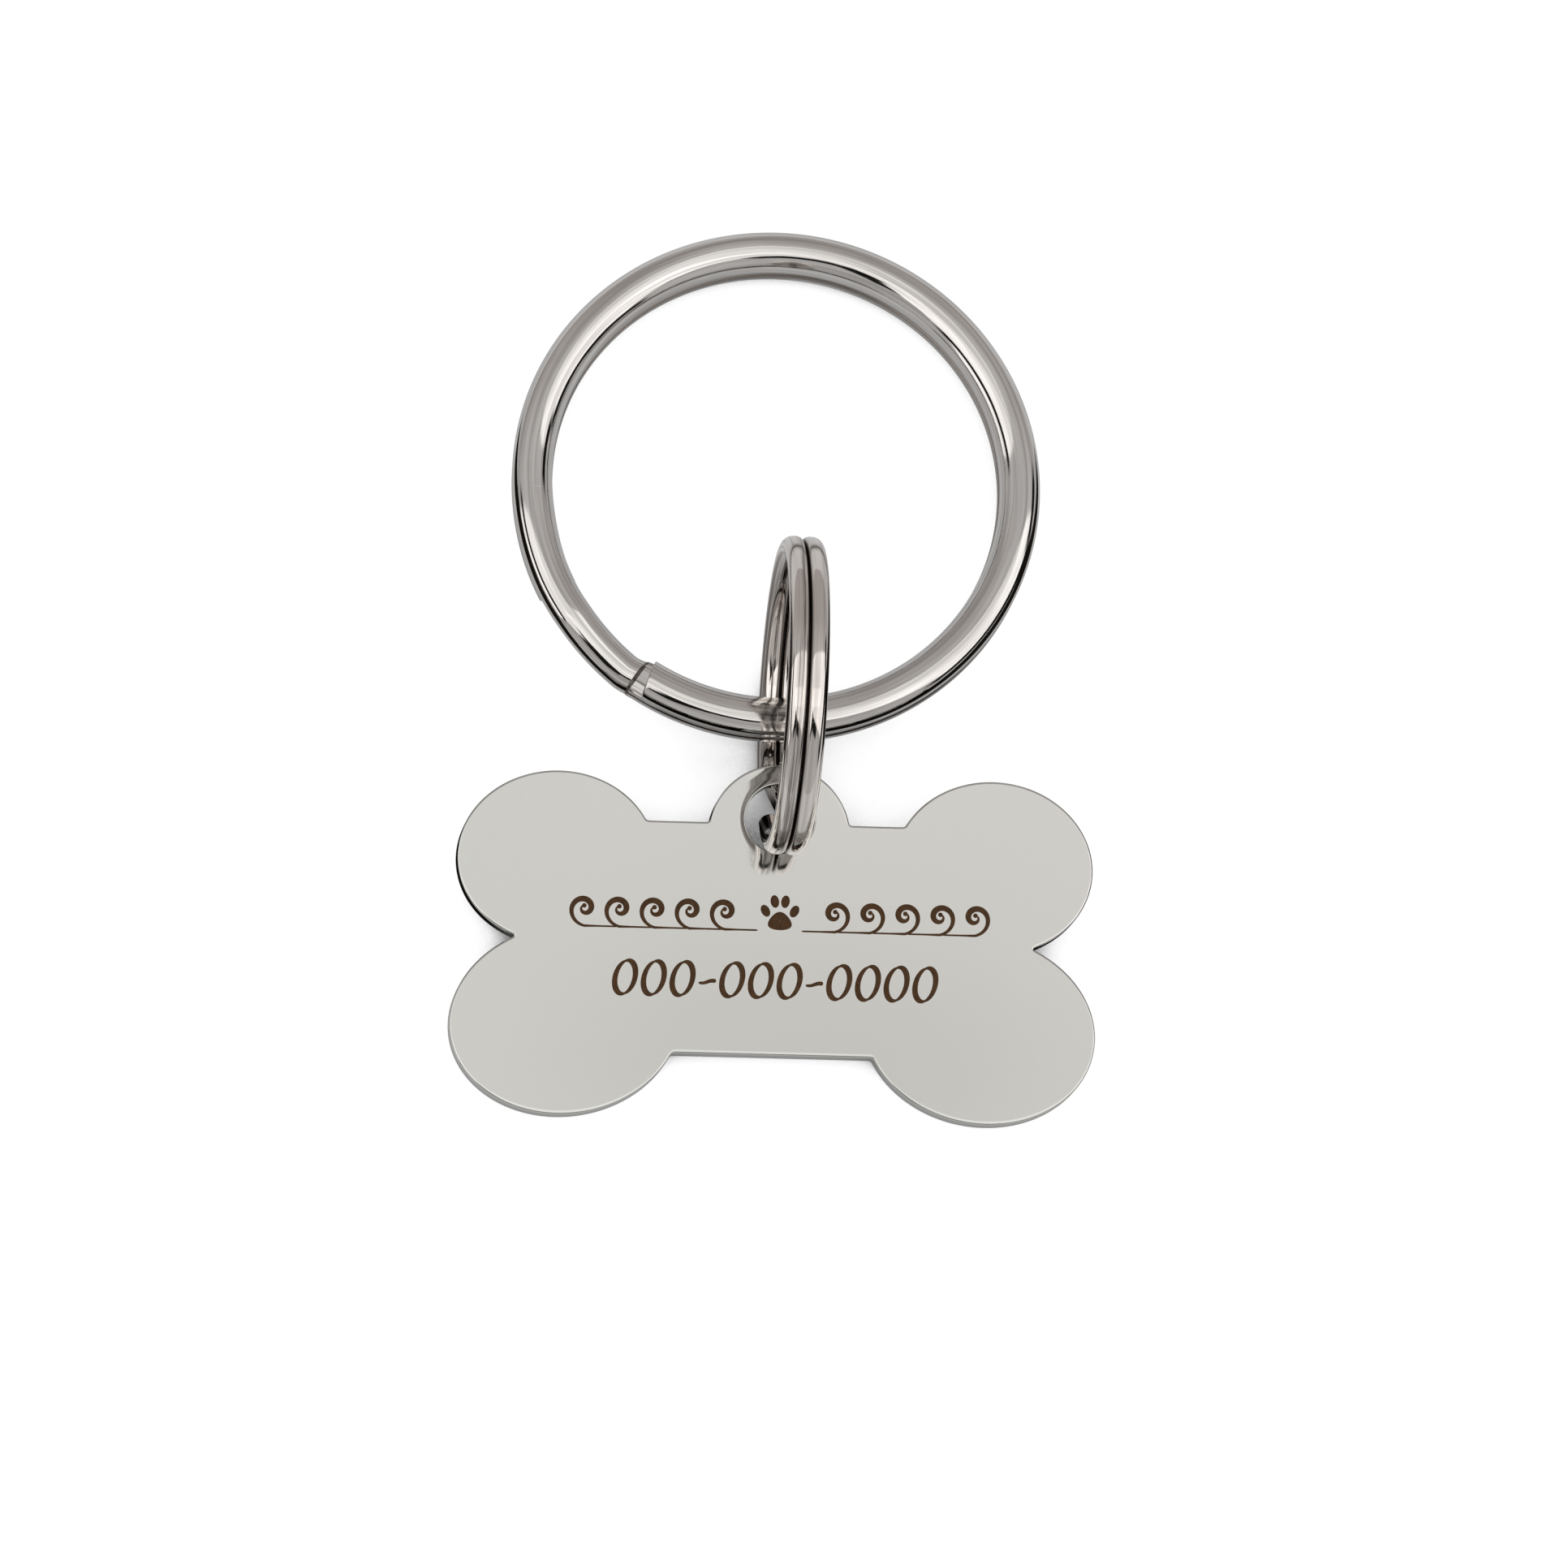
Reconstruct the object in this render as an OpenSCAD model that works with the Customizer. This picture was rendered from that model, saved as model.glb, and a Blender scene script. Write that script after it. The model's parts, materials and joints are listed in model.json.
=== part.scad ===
// Pet identity tag: a bone-shaped steel plate on a small split ring, which hangs
// on a large split ring for the collar. It lies as it does on a table: the plate
// and the large ring lie nearly flat and the small ring stands on its edge.
// Millimetres, +Z up, +X to the plate's right, +Y from the plate to the large ring.

/* [Large split ring] */
// Outside diameter of the large ring
large_ring_diameter = 30; // [20:0.5:45]
// Thickness of its wire across the ring, from inside to outside
large_wire_width = 2.3; // [1.5:0.1:3.5]
// Height of its wire along the ring's axis, one turn
large_wire_height = 1.38; // [0.8:0.02:2.2]

/* [Small split ring] */
// Outside diameter of the small ring
small_ring_diameter = 17.9; // [14:0.1:26]
// Thickness of its wire across the ring, from inside to outside
small_wire_width = 1.2; // [0.8:0.05:1.6]
// Height of its wire along the ring's axis, one turn
small_wire_height = 0.94; // [0.6:0.02:1.3]

/* [Winding] */
// Free space between the two turns of a split ring
coil_gap = 0.44; // [0.42:0.02:0.8]
// Degrees over which the wire steps from one turn to the other
step_arc = 28; // [20:1:50]

/* [Tag plate] */
// Thickness of the plate
plate_thickness = 1.5; // [0.8:0.1:2.5]
// Height of the plate's top edge above the notches
edge_up = 6.85; // [5:0.05:9]
// Depth of the plate's bottom edge below the notches
edge_down = 6.3; // [5:0.1:9]
// Sideways distance of an upper lobe's middle from the plate's middle
upper_lobe_out = 12.35; // [10:0.05:16]
// Height of an upper lobe's middle above the notches
upper_lobe_up = 4.65; // [3.5:0.05:6]
// Half of an upper lobe's length
upper_lobe_half_length = 5.6; // [4.5:0.1:7]
// Half of an upper lobe's breadth
upper_lobe_half_breadth = 4.9; // [4:0.05:6]
// Lean of an upper lobe's long axis, outer end down
upper_lobe_lean = 4; // [0:1:20]
// Sideways distance of a lower lobe's middle from the plate's middle
lower_lobe_out = 11.7; // [10:0.1:16]
// Depth of a lower lobe's middle below the notches
lower_lobe_down = 4.55; // [3.5:0.05:6]
// Half of a lower lobe's length
lower_lobe_half_length = 6.55; // [5:0.05:8]
// Half of a lower lobe's breadth
lower_lobe_half_breadth = 5.35; // [4.5:0.05:7]
// Lean of a lower lobe's long axis, outer end down
lower_lobe_lean = 9; // [0:1:25]
// Radius of the round tab that carries the hole
tab_radius = 4; // [3.2:0.1:5.5]
// Rise of the tab above the plate's top edge
tab_rise = 3.35; // [3:0.05:5]
// Width of the strip between the hole and the tab's top
tab_strip = 1.1; // [0.8:0.1:2]
// Sideways distance of the tab and its hole from the plate's middle
tab_aside = 0.2; // [0:0.05:1]

/* [Lie] */
// Free space between the small ring and the large ring's wire
wire_room = 0.22; // [0.1:0.01:0.3]
// Free space between the small ring and the strip of the tab
strip_room = 0.16; // [0.1:0.01:0.3]
// Free length of the hole along the wire that slants through it
hole_room = 0.54; // [0.5:0.02:0.9]
// Turn of the plate on the table, anticlockwise
plate_turn = 1.5; // [-5:0.5:5]
// Turn of the small ring's plane, anticlockwise from +Y
small_ring_turn = 0; // [-5:0.1:5]
// Lean of the small ring's top to the right
small_ring_lean = 1.2; // [0:0.1:4]

/* [Hidden] */
// Rings: radii and the height of the two turns together
large_radius = large_ring_diameter / 2;
large_mid_radius = large_radius - large_wire_width / 2;
large_stack = 2 * large_wire_height + coil_gap;
small_radius = small_ring_diameter / 2;
small_mid_radius = small_radius - small_wire_width / 2;
small_inner_radius = small_radius - small_wire_width;
small_stack = 2 * small_wire_height + coil_gap;

// The wire: rounded section, stations along the turns
section_points = 12;
section_power_share = 2 / 3;
station_turn = 5;
sweep_turn = 720 - step_arc;
stations = ceil(sweep_turn / station_turn);
stations_per_turn = 360 / station_turn;
// Direction of the upper turn's cut end: to the large ring's near left, and
// low on the small ring's near side, where the tab hides the step
large_end_direction = 237;
small_end_direction = 256;

// Height of the small ring's inner face at a distance y from its lowest point
function inner_face(y) = small_radius - sqrt(pow(small_inner_radius, 2) - y * y);

// The large ring's near wire lies on the inner face of the standing small ring,
// just behind its lowest point, and its far side lies on the table
large_wire_back_share = 0.01;
large_wire_y = large_wire_back_share * small_inner_radius;
large_wire_z = inner_face(large_wire_y + large_wire_width / 2) + wire_room + large_stack / 2;
large_tilt = asin((large_wire_z - large_stack / 2) / (large_radius + large_mid_radius));
large_centre = [0, large_wire_y + large_mid_radius * cos(large_tilt),
                large_wire_z - large_mid_radius * sin(large_tilt)];
// The small ring crosses it a little to the right of its middle
small_ring_x_share = 0.052;
small_ring_x = small_ring_x_share * large_mid_radius;
// Place of a point y, z of the small ring's own plane once it leans and turns
small_ring_foot = [small_ring_x, 0, small_stack / 2 * sin(small_ring_lean)];
function stood(y, z) = small_ring_foot
    + [z * sin(small_ring_lean) * cos(small_ring_turn) - y * sin(small_ring_turn),
       z * sin(small_ring_lean) * sin(small_ring_turn) + y * cos(small_ring_turn),
       z * cos(small_ring_lean)];
// Middle of the large ring's wire where the small ring swings round it
swing_point = [stood(large_wire_y, large_wire_z)[0], large_wire_y, large_wire_z];
swing_slope = asin(swing_point[0] / large_mid_radius);

// The plate: its strip lies over the small ring and its lower lobes on the table.
// Lengths that follow from the height z of the hole's middle and its radius r
lower_end = lower_lobe_down + norm([lower_lobe_half_breadth * cos(lower_lobe_lean),
                                    lower_lobe_half_length * sin(lower_lobe_lean)]);
function hole_up(r) = edge_up + tab_rise - tab_strip - r;
function plate_slope(z, r) = asin((z - plate_thickness / 2) / (hole_up(r) + lower_end));
function hole_back(z) = sqrt(pow(small_mid_radius, 2) - pow(small_radius - z, 2));
// Angle between the wire and the plate's normal at the hole
function wire_slant(z, r) = asin((small_radius - z) / small_mid_radius) - plate_slope(z, r);
function slot_length(slant) = small_wire_width / cos(slant) + plate_thickness * tan(slant) + hole_room;
// Half width of the wire pair, less its rounded corners
corner_share = 1 / 6;
pair_half_width = small_stack / 2 - small_wire_height * corner_share;
function hole_radius_at(slant) = norm([slot_length(slant) / 2, pair_half_width]);
// Height at which the strip's inner edge just clears the ring's inner face
function clear_height(z, r) = inner_face(hole_back(z) - r * cos(plate_slope(z, r)))
    + (plate_thickness / 2 + strip_room) / cos(plate_slope(z, r))
    - r * sin(plate_slope(z, r));
// Height and radius settle together in a few rounds
function settled(rounds, z, r) = rounds <= 0
    ? [z, r]
    : settled(rounds - 1, clear_height(z, r), hole_radius_at(wire_slant(z, r)));
settling_rounds = 12;
first_height = small_wire_width + plate_thickness;
first_radius = small_stack;
hole = settled(settling_rounds, first_height, first_radius);
hole_height = hole[0];
hole_radius = hole[1];
hole_centre_up = hole_up(hole_radius);
hole_centre = stood(-hole_back(hole_height), hole_height);
plate_tilt = plate_slope(hole_centre[2], hole_radius);
// Width of the body between the lobes, inside their outlines
body_half_share = 1.05;
body_half_width = upper_lobe_out * body_half_share;

// The whole part is centred over the origin
plate_reach = (hole_centre_up + lower_end) * cos(plate_tilt) * cos(plate_turn)
    + lower_lobe_out * sin(abs(plate_turn));
far_edge = large_centre[1] + large_radius;
near_edge = hole_centre[1] - plate_reach;
plate_swing_x = (hole_centre_up + lower_lobe_down) * sin(plate_turn);
part_shift = [tab_aside - hole_centre[0] - plate_swing_x, -(far_edge + near_edge) / 2, 0];

$fn = 72;

// One point of the wire's rounded section, across and along the ring's axis
function softened(value) = sign(value) * pow(abs(value) / cos(180 / section_points), section_power_share);
function section_point(k, width, height) =
    let (a = (k + 0.5) * 360 / section_points)
    [softened(cos(a)) * width / 2, softened(sin(a)) * height / 2];

// Height of the wire's middle after a turn of t degrees: upper turn, step, lower turn
function eased(s) = s <= 0 ? 0 : s >= 1 ? 1 : s * s * (3 - 2 * s);
function turn_height(t, pitch) = pitch * (0.5 - eased((t - (360 - step_arc)) / step_arc));

// Surface point k of the station at t degrees of a ring with mid radius r
function wire_point(t, k, r, width, height) =
    let (p = section_point(k, width, height))
    [(r + p[0]) * cos(t), (r + p[0]) * sin(t), turn_height(t, height + coil_gap) + p[1]];

function station_angle(i) = min(i * station_turn, sweep_turn);

// One unbroken wire of nearly two turns with cut ends
module split_ring(r, width, height) {
    n = section_points;
    points = [for (i = [0 : stations]) for (k = [0 : n - 1])
        wire_point(station_angle(i), k, r, width, height)];
    sides = [for (i = [0 : stations - 1]) for (k = [0 : n - 1])
        let (a = i * n + k, b = i * n + (k + 1) % n)
        each [[a, b + n, a + n], [a, b, b + n]]];
    last = stations * n;
    ends = [for (k = [1 : n - 2]) each [[0, k + 1, k], [last, last + k, last + k + 1]]];
    polyhedron(points = points, faces = concat(sides, ends), convexity = 8);
}

// Least distance between the two turns, measured on the wire's surface points
function least_gap(r, width, height) =
    let (n = section_points)
    min([for (i = [0 : stations - stations_per_turn]) for (j = [-3 : 3])
        for (k = [n / 2 : n - 1]) for (m = [0 : n / 2 - 1])
        norm(wire_point(station_angle(i), k, r, width, height)
             - wire_point(station_angle(i + stations_per_turn + j), m, r, width, height))]);
echo(large_ring_least_gap = least_gap(large_mid_radius, large_wire_width, large_wire_height));
echo(small_ring_least_gap = least_gap(small_mid_radius, small_wire_width, small_wire_height));

module large_split_ring() {
    color("silver")
    translate(part_shift + large_centre)
    rotate([-large_tilt, 0, 0])
    rotate([0, 0, large_end_direction])
    split_ring(large_mid_radius, large_wire_width, large_wire_height);
}

module small_split_ring() {
    color("gainsboro")
    translate(part_shift + small_ring_foot)
    rotate([0, small_ring_lean, small_ring_turn])
    translate([0, 0, small_radius])
    rotate([90, 0, 90])
    rotate([0, 0, small_end_direction])
    split_ring(small_mid_radius, small_wire_width, small_wire_height);
}

// One rounded lobe of the bone outline
module lobe(out, up, half_length, half_breadth, lean) {
    translate([out, up])
    rotate(-lean)
    scale([half_length / half_breadth, 1])
    circle(r = half_breadth);
}

// Half of the outline, on the right
module lobes() {
    lobe(upper_lobe_out, upper_lobe_up, upper_lobe_half_length, upper_lobe_half_breadth, upper_lobe_lean);
    lobe(lower_lobe_out, -lower_lobe_down, lower_lobe_half_length, lower_lobe_half_breadth, lower_lobe_lean);
}

module plate_outline() {
    lobes();
    mirror([1, 0]) lobes();
    translate([-body_half_width, -edge_down])
    square([2 * body_half_width, edge_up + edge_down]);
    translate([tab_aside, edge_up + tab_rise - tab_radius])
    circle(r = tab_radius);
}

module tag_plate() {
    color("lightgray")
    translate(part_shift + hole_centre)
    rotate([plate_tilt, 0, plate_turn])
    translate([-tab_aside, -hole_centre_up, -plate_thickness / 2])
    linear_extrude(plate_thickness)
    difference() {
        plate_outline();
        translate([tab_aside, hole_centre_up])
        circle(r = hole_radius);
    }
}

echo(large_wire_axis = part_shift + swing_point, swing_slope = swing_slope);
echo(large_ring_centre = part_shift + large_centre);
echo(small_ring_centre = part_shift + stood(0, small_radius));
echo(hole_axis = part_shift + hole_centre);
echo(hole_diameter = 2 * hole_radius, plate_tilt = plate_tilt, large_tilt = large_tilt);
echo(wire_slant = wire_slant(hole_height, hole_radius));

large_split_ring();
small_split_ring();
tag_plate();
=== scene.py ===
# %% [markdown]
# # A bone-shaped pet tag on two split rings
#
# The object is three pieces of polished metal. A flat steel plate has the outline of a bone and a
# round tab with a hole. A small split ring stands on its edge in that hole, and a large split ring
# lies round its far side. The imported CAD model gives every piece its place and its joints. This
# script rebuilds the three surfaces with finer edges, gives them their finish and lights them.
#
# Polished metal has hardly any colour of its own: it shows what stands around it. So the tent, the
# dark patch painted on the paper for the metal's reflections and the lamp of the little studio
# below matter as much as the materials do.

# %% Load the frame
import json

import bpy
import numpy as np
from mathutils import Matrix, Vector
from mathutils.geometry import tessellate_polygon

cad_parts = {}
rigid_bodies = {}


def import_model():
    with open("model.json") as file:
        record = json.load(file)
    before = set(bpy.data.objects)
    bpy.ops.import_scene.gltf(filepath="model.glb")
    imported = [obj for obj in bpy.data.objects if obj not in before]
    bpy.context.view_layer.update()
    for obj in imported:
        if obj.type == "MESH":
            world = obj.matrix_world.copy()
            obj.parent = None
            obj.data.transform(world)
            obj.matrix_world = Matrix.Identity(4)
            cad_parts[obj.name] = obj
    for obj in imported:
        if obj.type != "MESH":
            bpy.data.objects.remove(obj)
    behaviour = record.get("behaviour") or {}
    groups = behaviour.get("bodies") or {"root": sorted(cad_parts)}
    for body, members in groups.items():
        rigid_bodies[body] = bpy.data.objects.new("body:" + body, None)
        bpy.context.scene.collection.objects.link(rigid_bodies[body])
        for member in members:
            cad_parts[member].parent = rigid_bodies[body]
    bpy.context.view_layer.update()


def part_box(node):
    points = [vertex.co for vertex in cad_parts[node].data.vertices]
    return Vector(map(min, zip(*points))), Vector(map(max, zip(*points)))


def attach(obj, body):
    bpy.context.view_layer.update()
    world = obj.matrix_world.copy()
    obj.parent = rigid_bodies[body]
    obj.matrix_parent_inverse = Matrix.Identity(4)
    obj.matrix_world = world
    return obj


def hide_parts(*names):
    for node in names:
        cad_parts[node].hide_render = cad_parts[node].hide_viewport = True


for thing in list(bpy.data.objects):
    bpy.data.objects.remove(thing)
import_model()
MM, MICRON = 0.001, 0.000001

# %% [markdown]
# ## Camera
#
# The photograph looks down on the tag from in front and a little to the left, with the camera
# turned in its own plane. It was taken from far away for its size, so a long lens is used. The
# camera looks straight at its target and needs no lens shift, which keeps every other view centred.

# %% Camera
camera_distance = 1.0
camera_target = np.array([0.116, -6.582, 3.0]) * MM
camera_elevation, camera_azimuth, camera_roll = np.radians([74.718, 16.195, 18.66])
photo_pixels = 1932
pixels_per_mm = 21.864
sensor_width = 36.0


def camera_axes(elevation, azimuth, roll):
    """Right, up and backward directions. Backward is (-cos e sin a, -cos e cos a, sin e); right is
    level and across it; up is their cross product; then right and up turn by the roll."""
    backward = np.array([-np.cos(elevation) * np.sin(azimuth), -np.cos(elevation) * np.cos(azimuth),
                         np.sin(elevation)])
    level = np.array([np.cos(azimuth), -np.sin(azimuth), 0.0])
    above = np.cross(backward, level)
    return (np.cos(roll) * level + np.sin(roll) * above,
            np.cos(roll) * above - np.sin(roll) * level, backward)


right, up, backward = camera_axes(camera_elevation, camera_azimuth, camera_roll)
camera_data = bpy.data.cameras.new("camera")
camera_data.sensor_width = sensor_width
camera_data.lens = pixels_per_mm * camera_distance / MM / photo_pixels * sensor_width
camera_data.clip_start, camera_data.clip_end = 0.05, 50
camera = bpy.data.objects.new("camera", camera_data)
place = Matrix(np.column_stack([right, up, backward]).tolist()).to_4x4()
place.translation = camera_target + backward * camera_distance
camera.matrix_world = place
bpy.context.scene.collection.objects.link(camera)
bpy.context.scene.camera = camera
print("lens", round(camera_data.lens, 1), "mm")

# %% [markdown]
# ## Helpers for surfaces
#
# Every surface here is a grid of points worked out with numpy, one row after another. A helper
# joins neighbouring rows with four-sided faces and hands whole arrays to Blender.


# %% Grids to meshes
def grid_faces(rows, columns, first=0, flip=False):
    """Faces between neighbouring rows of a grid that closes on itself along each row: corner
    numbers are row * columns + column, with the last column joined to column 0."""
    r, c = np.meshgrid(np.arange(rows - 1), np.arange(columns), indexing="ij")
    n = (c + 1) % columns
    near, far = r * columns, (r + 1) * columns
    quads = np.stack([near + c, near + n, far + n, far + c], -1).reshape(-1, 4) + first
    return quads[:, ::-1] if flip else quads


def build_mesh(name, points_mm, faces, flat_faces=(), attributes=None):
    """A mesh object from points in millimetres and lists of faces; flat_faces are shaded flat."""
    mesh = bpy.data.meshes.new(name)
    every = [face.tolist() for face in faces] + [list(face) for face in flat_faces]
    mesh.from_pydata((points_mm * MM).tolist(), [], every)
    smooth = np.ones(len(every), bool)
    smooth[len(faces):] = False
    mesh.polygons.foreach_set("use_smooth", smooth)
    for key, values in (attributes or {}).items():
        kind = "FLOAT_VECTOR" if np.ndim(values) == 2 else "FLOAT"
        layer = mesh.attributes.new(key, kind, "POINT")
        layer.data.foreach_set("vector" if kind == "FLOAT_VECTOR" else "value",
                               np.asarray(values, np.float32).ravel())
    mesh.validate()
    mesh.update()
    piece = bpy.data.objects.new(name, mesh)
    bpy.context.scene.collection.objects.link(piece)
    return piece


def turn(axis, degrees):
    """Rotation about an axis as a 3 by 3 matrix: the next two axes get the cosine on the diagonal
    and the sine, once with a minus, off it."""
    c, s = np.cos(np.radians(degrees)), np.sin(np.radians(degrees))
    i, j = {"x": (1, 2), "y": (2, 0), "z": (0, 1)}[axis]
    matrix = np.eye(3)
    matrix[i, i], matrix[i, j], matrix[j, i], matrix[j, j] = c, -s, s, c
    return matrix


# %% [markdown]
# ## Split rings
#
# A split ring is one length of wire wound nearly twice round. On the upper turn the wire starts at
# a cut end, goes almost round, then bends down a short ramp, ends the ramp in a crimp, and runs on
# under its own start as the lower turn. So the whole ring is one section carried along one path.
# A torus could not show the ramp, the crimp or the two cut ends, so the path is written out.
#
# After winding, the ring is pressed in a die with rounded grooves. That leaves a domed crown on the
# outside of each turn and a flat where the turns touch, so the section changes over in the crimp.
# The crown's slope decides where the bright and dark lines run along the wire. The turns of the
# real ring nearly touch. The CAD solids keep them further apart for the sake of collision, within
# the same overall height, and here the wire fills that height as the real one does.

# %% Wire path
# Angles are degrees along the wire from its upper cut end, and lengths are millimetres.
step_arc = 31.0
sweep = 720.0 - step_arc
ramp_start, ramp_end = 337.0, 357.2
bend_round, crimp_round = 0.06, 0.012
bend_rows, crimp_rows = (330, 342, 49), (353, 361, 97)
end_bevel = 0.09
end_skew = 0.9
print("wire of", sweep, "degrees, with its ramp from", ramp_start, "to", ramp_end)


def soft_ramp(x, blend):
    """Zero before x = 0 and x after it, with a rounded corner of about the size of blend."""
    return (x + np.sqrt(x * x + blend * blend)) / 2


def soft_step(x):
    """Smooth step from 0 to 1: 3 x^2 - 2 x^3 for x held between 0 and 1."""
    x = np.clip(x, 0, 1)
    return x * x * (3 - 2 * x)


def wire_drop(t, bend, crimp):
    """Share of the way from upper to lower turn at angle t: a straight ramp over the step, with a
    rounded bend where it starts and a sharp crimp where it ends."""
    s = (t - ramp_start) / (ramp_end - ramp_start)
    return soft_ramp(s, bend) - soft_ramp(s - 1, crimp)


def stations(mid_radius):
    """Angles along the wire, every degree and closer at the bend, the crimp and the cut ends, and
    how far each row's outline is drawn in, so that the cut ends get a small round bevel."""
    close = [np.linspace(*bend_rows), np.linspace(*crimp_rows), np.arange(1.0, sweep, 1.0)]
    middle = np.unique(np.concatenate(close).round(4))
    q = np.linspace(0, np.pi / 2, 5)
    along, inset = np.degrees(end_bevel * (1 - np.cos(q)) / mid_radius), end_bevel * (1 - np.sin(q))
    clear = along[-1] + 0.1
    middle = middle[(middle > clear) & (middle < sweep - clear)]
    t = np.concatenate([along, middle, sweep - along[::-1]])
    return t, np.concatenate([inset, 0 * middle, inset[::-1]])


# %% Wire section
crown_power, flat_power = 1.0, 0.6


def wire_section(columns, half_width, crown, flat, lean, lower):
    """Across = w sign(c)|c|^q and up = h sign(s)|s|^q, for c and s the cosine and sine of an even
    angle. The height h and power q are those of the crown on one side and of the flat on the other,
    and lower, 0 to 1, changes them over. Up also gains lean * across on the crown's side."""
    angle = (np.arange(columns) + 0.5) * 2 * np.pi / columns
    c, s = np.cos(angle)[None], np.sin(angle)[None]
    on_crown = np.where(s > 0, 1 - lower, lower)
    power = flat_power + (crown_power - flat_power) * on_crown
    height = flat + (crown - flat) * on_crown
    across = half_width * np.sign(c) * np.abs(c) ** power
    level = on_crown + (1 - on_crown) * (1 - np.abs(s) ** power)
    tilted = lean * (1 - 2 * lower) * level * across
    return across, height * np.sign(s) * np.abs(s) ** power + tilted, c, s


# %% Ring from path and section
changeover = 0.6
bulge_start, bulge_rise, bulge_end, bulge_fall = 308, 27, 354, 5
upper_bulge, lower_bulge = 1, 0.4
# Painted shade where the turns meet stays off the ramp; a line of painted shade darkens the crimp.
shade_gap_middle, shade_gap_reach, shade_gap_soft = (ramp_start + ramp_end) / 2 + 3, 12.8, 4
crimp_shade, crimp_line = 0.85, 0.3


def beside_ramp(t):
    """How far the turns bulge out, 0 to 1: on the upper turn before the ramp's end, and less on the
    lower turn under that place."""
    def rise_and_fall(a):
        return soft_step((a - bulge_start) / bulge_rise) * (1 - soft_step((a - bulge_end) / bulge_fall))
    return upper_bulge * rise_and_fall(t) + lower_bulge * rise_and_fall(t - 360)


def split_ring(name, mid_radius, width, crown, flat, gap, lean, tuck, flare, groove, place, origin,
               columns=56):
    """One wire of nearly two turns: (R + x) cos t, (R + x) sin t, z + y, for x and y on the section.
    z falls from +(flat + gap / 2) to the same below. R is smaller by tuck on the lower turn. Both
    turns bulge out by flare beside the ramp, where the wire is narrower by half of that. The crown
    changes over in the crimp, and the first cut is oblique by end_skew degrees. The groove attribute
    is painted shade where the turns meet, exp(-(height / groove)^2) off the ramp, with a narrow line
    of painted shade in the crimp, and lower_turn is 1 on the turn below."""
    t, inset = stations(mid_radius)
    lower = wire_drop(t, bend_round, crimp_round)[:, None]
    turned_over = soft_step((t - ramp_end + changeover / 2) / changeover)[:, None]
    bulge = beside_ramp(t)[:, None]
    half_width = width / 2 - 0.25 * flare * bulge
    x, y, c, s = wire_section(columns, half_width, crown, flat, lean, turned_over)
    x = x * (1 - inset[:, None] / half_width)
    y = y * (1 - 2 * inset[:, None] / (crown + flat))
    radius = mid_radius + x - tuck * lower + flare * bulge
    round_ring = np.radians(t[:, None] + end_skew * x / half_width * (1 - soft_step(t / 8))[:, None])
    z = (2 * flat + gap) * (0.5 - lower)
    grid = np.stack([radius * np.cos(round_ring), radius * np.sin(round_ring), z + y], -1)
    lines = np.stack([round_ring * mid_radius + 0 * x, c * width / 2 + 0 * x, s * crown + 0 * x], -1)
    # Painted shade: darker where the turns meet, off the ramp, and a dark line in the crimp.
    off_ramp = soft_step((np.abs(t - shade_gap_middle) - shade_gap_reach) / shade_gap_soft)[:, None]
    in_crimp = np.exp(-((t - ramp_end) / crimp_line) ** 2)[:, None]
    shade_between_turns = np.exp(-((z + y) / groove) ** 2) * off_ramp + crimp_shade * in_crimp
    rows = len(t)
    caps = [np.arange(columns)[::-1], (rows - 1) * columns + np.arange(columns)]
    stored = {"wire": lines.reshape(-1, 3), "groove": shade_between_turns.ravel(),
              "lower_turn": (turned_over + 0 * x).ravel()}
    piece = build_mesh(name, grid.reshape(-1, 3) @ place.T + origin,
                       grid_faces(rows, columns, flip=True), caps, stored)
    print(name, rows, "rows", len(piece.data.polygons), "faces, height", round(np.ptp(grid[..., 2]), 2))
    return piece


def frame_middle(node):
    """Middle of a CAD node's box, in millimetres."""
    return np.mean([list(corner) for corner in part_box(node)], 0) / MM


# %% Large ring
large_middle = np.array([-0.885244, 10.9112, 2.38917])
large_tilt, large_cut_bearing = 3.01578, 240.07
print("large ring's middle against its box", (large_middle - frame_middle("large_split_ring")).round(3))
large_ring = split_ring("large_split_ring_wire", mid_radius=13.85, width=2.29, crown=1.07, flat=0.5,
                        gap=0.02, lean=0.087, tuck=0.06, flare=0.2, groove=0.26, columns=64,
                        place=turn("x", -large_tilt) @ turn("z", large_cut_bearing), origin=large_middle)

# %% Small ring
small_middle = np.array([0.022391, -2.99714, 8.97233])
small_lean, small_cut_bearing = 1.2, 256
upright = turn("z", 90) @ turn("x", 90)
print("small ring's middle against its box", (small_middle - frame_middle("small_split_ring")).round(3))
small_ring = split_ring("small_split_ring_wire", mid_radius=8.35, width=1.2, crown=0.61, flat=0.52,
                        gap=0.02, lean=0.0, tuck=0.0, flare=0.0, groove=0.13,
                        place=turn("y", small_lean) @ upright @ turn("z", small_cut_bearing),
                        origin=small_middle)

# %% [markdown]
# ## Bone-shaped plate
#
# The plate is stamped from sheet steel and then tumbled and polished, so its rim is softly rounded
# and its faces fall off very slightly towards the edge. That fall-off is only a few hundredths of a
# millimetre, but on polished metal it draws the brighter band that runs along the rim. The outline
# is traced arc by arc, and then repeated as loops that step inwards round the rim.

# %% Outline of the bone
upper_lobe = dict(out=12.35, up=4.65, length=5.6, breadth=4.9, lean=4.0)
lower_lobe = dict(out=11.7, up=-4.55, length=6.55, breadth=5.35, lean=9.0)
edge_up, edge_down = 6.85, -6.3
tab_middle, tab_radius = np.array([0.2, 6.2]), 4.0
hole_middle, hole_radius = np.array([0.2, 7.13364]), 1.96636
plate_thickness = 1.5
lobe_arc, tab_arc = 27, 11.2


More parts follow.
